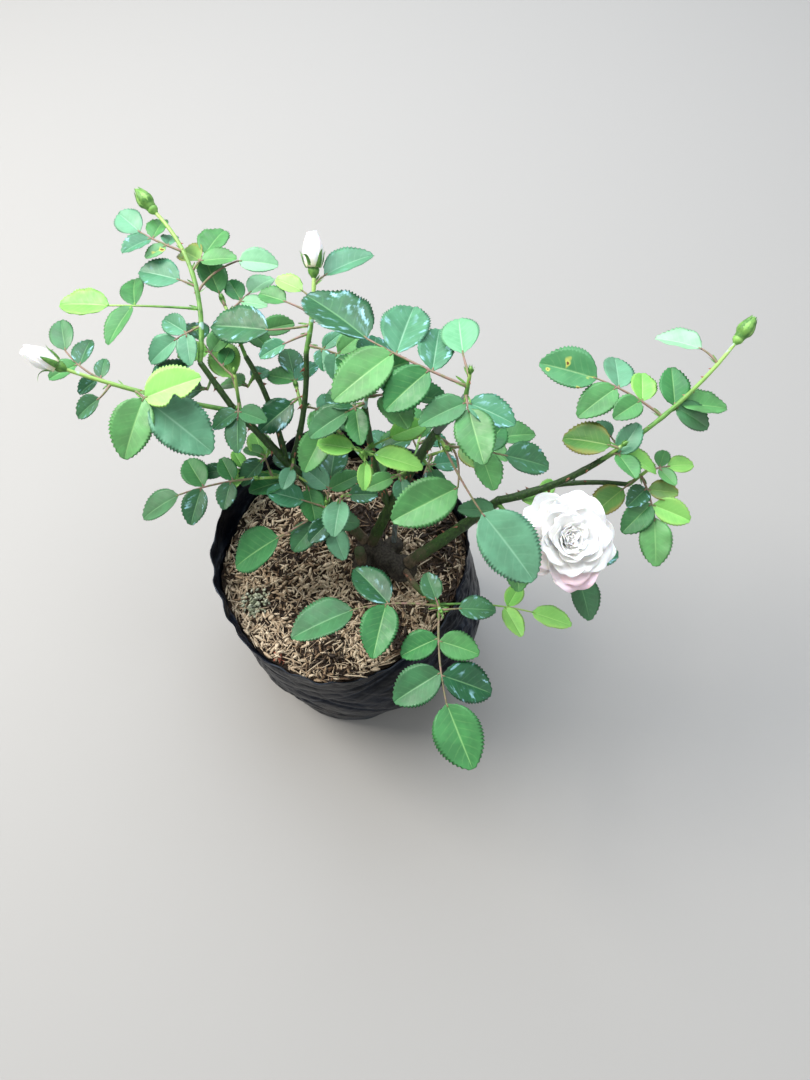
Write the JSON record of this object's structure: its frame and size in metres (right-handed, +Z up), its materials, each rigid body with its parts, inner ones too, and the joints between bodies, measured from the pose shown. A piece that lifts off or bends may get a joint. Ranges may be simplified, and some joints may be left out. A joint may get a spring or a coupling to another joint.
{
  "type": "potted rose bush",
  "caption": "Young rose bush with open-grown leafy canes, green buds and one full white bloom, rooted in husk medium in a soft black nursery bag.",
  "frame": {"origin": "middle of the bag's flat underside, on the ground", "axes": "+Z up along the bag's height, +X along the long way of the bush towards its far green bud, +Y away from the side that the bush is looked at from"},
  "size_m": [0.5818, 0.4394, 0.4627],
  "materials": {
    "film": "dusty black polythene film, soft and creased",
    "husk": "loose brown husk and chips, part dry and part moist",
    "old_wood": "rough grey-brown bark",
    "cane": "smooth green rind with prickles",
    "leaf": "half-glossy green leaves",
    "bloom_and_leaf": "matt white petals over half-glossy green leaves"
  },
  "bodies": {
    "root": {"grow_bag": "film", "growing_medium": "husk", "east_cane": "cane", "centre_cane": "cane", "west_cane": "cane", "middle_cane": "cane", "grey_cane": "cane", "front_cane": "cane", "inner_cane": "cane", "spur": "cane", "east_arm": "cane", "low_east_arm": "cane", "west_arm": "cane", "far_west_arm": "cane", "north_west_arm": "cane", "north_arm": "cane", "sawn_stub": "old_wood", "knuckle": "old_wood", "far_west_bud_shoot": "leaf", "west_bud_shoot": "leaf", "west_leaf_shoot": "leaf", "north_west_shoot": "leaf", "north_bud_shoot": "leaf", "north_low_shoot": "leaf", "spur_shoot": "leaf", "centre_shoot": "leaf", "middle_shoot": "leaf", "young_shoot": "leaf", "grey_shoot": "leaf", "bloom_shoot": "bloom_and_leaf", "east_bud_shoot": "leaf", "east_leaf_shoot": "leaf", "low_east_shoot": "leaf", "front_shoot": "leaf", "inner_shoot": "leaf", "low_west_shoot": "leaf"}
  },
  "joints": []
}
